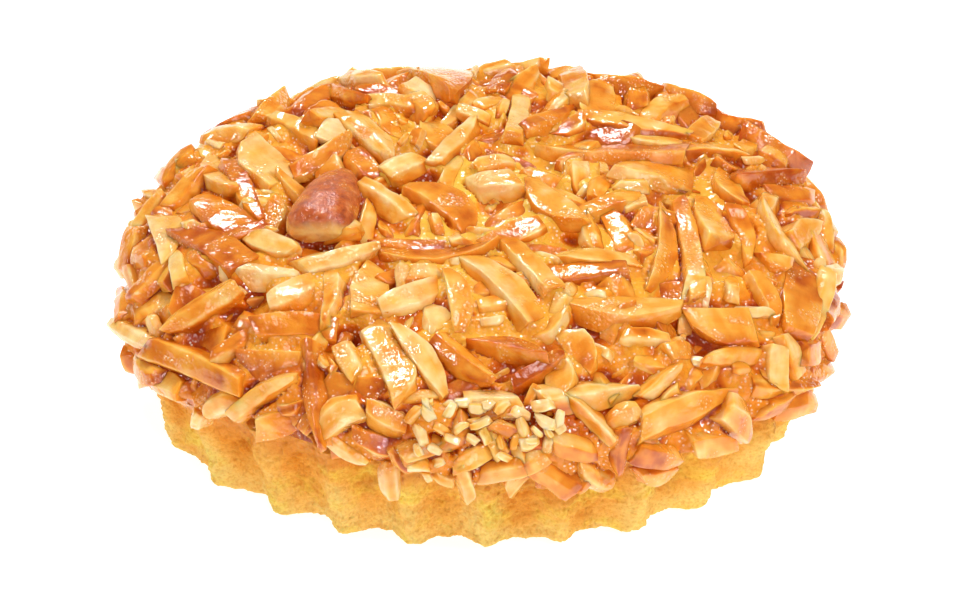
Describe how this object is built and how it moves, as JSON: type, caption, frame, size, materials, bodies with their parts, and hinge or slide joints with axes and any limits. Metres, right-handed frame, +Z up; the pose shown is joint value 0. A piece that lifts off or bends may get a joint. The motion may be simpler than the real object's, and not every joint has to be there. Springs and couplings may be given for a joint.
{
  "type": "almond tart",
  "caption": "Oval almond tart: a fluted shortcrust base under a domed heap of glazed caramel almond slivers, lying flat to be served or set on a plate.",
  "frame": {"origin": "centre of the crust's flat underside", "axes": "+Z up, +X along the tart's length, -Y the side shown in the picture"},
  "size_m": [0.1022, 0.0881, 0.0341],
  "materials": {
    "pastry": "matte baked shortcrust, yellow at the foot and on the ridges, orange-brown under the rim",
    "glazed_almonds": "glossy caramel glaze over cream to golden almond pieces"
  },
  "bodies": {
    "root": {"crust": "pastry", "almond_topping": "glazed_almonds"}
  },
  "joints": []
}
